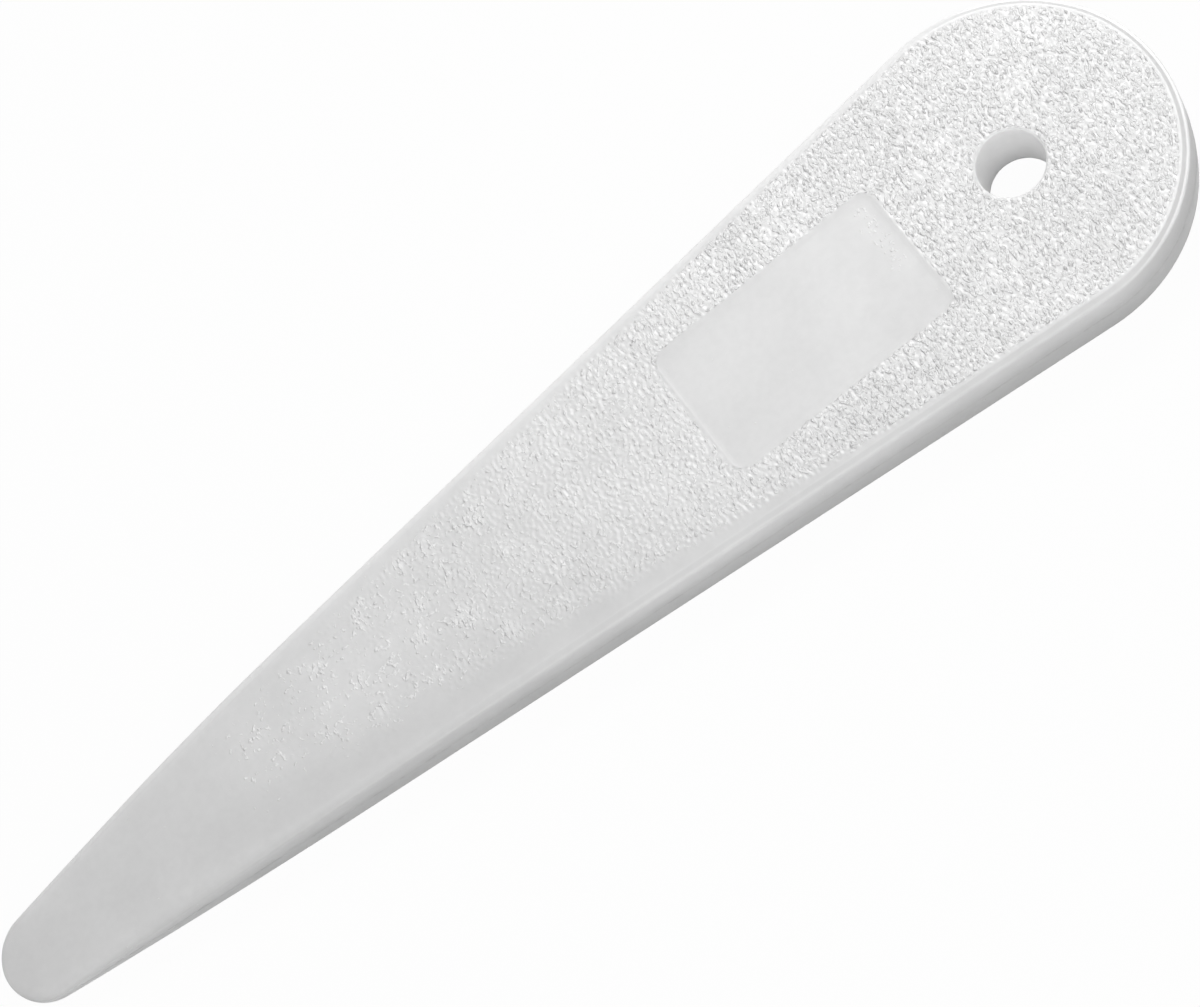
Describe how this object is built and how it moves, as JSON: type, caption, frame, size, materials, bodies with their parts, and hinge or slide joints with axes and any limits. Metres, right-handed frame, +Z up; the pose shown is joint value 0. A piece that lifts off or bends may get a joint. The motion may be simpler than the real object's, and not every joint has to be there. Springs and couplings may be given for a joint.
{
  "type": "trim removal tool",
  "caption": "One-piece moulded plastic trim removal wedge: teardrop handle with a hanging hole and a smooth sunken pad, tapering to a thin rounded prying tip.",
  "frame": {"origin": "middle of the length and width, on the flat sole", "axes": "+X along the tool from the prying tip to the round end, +Y across it, +Z up from the sole to the face with the pad"},
  "size_m": [0.2, 0.0484, 0.0105],
  "materials": {
    "white_plastic": "white moulded plastic with a fine leather grain on the handle faces, smooth pad, rim, sides and tip"
  },
  "bodies": {
    "root": {"body": "white_plastic"}
  },
  "joints": []
}
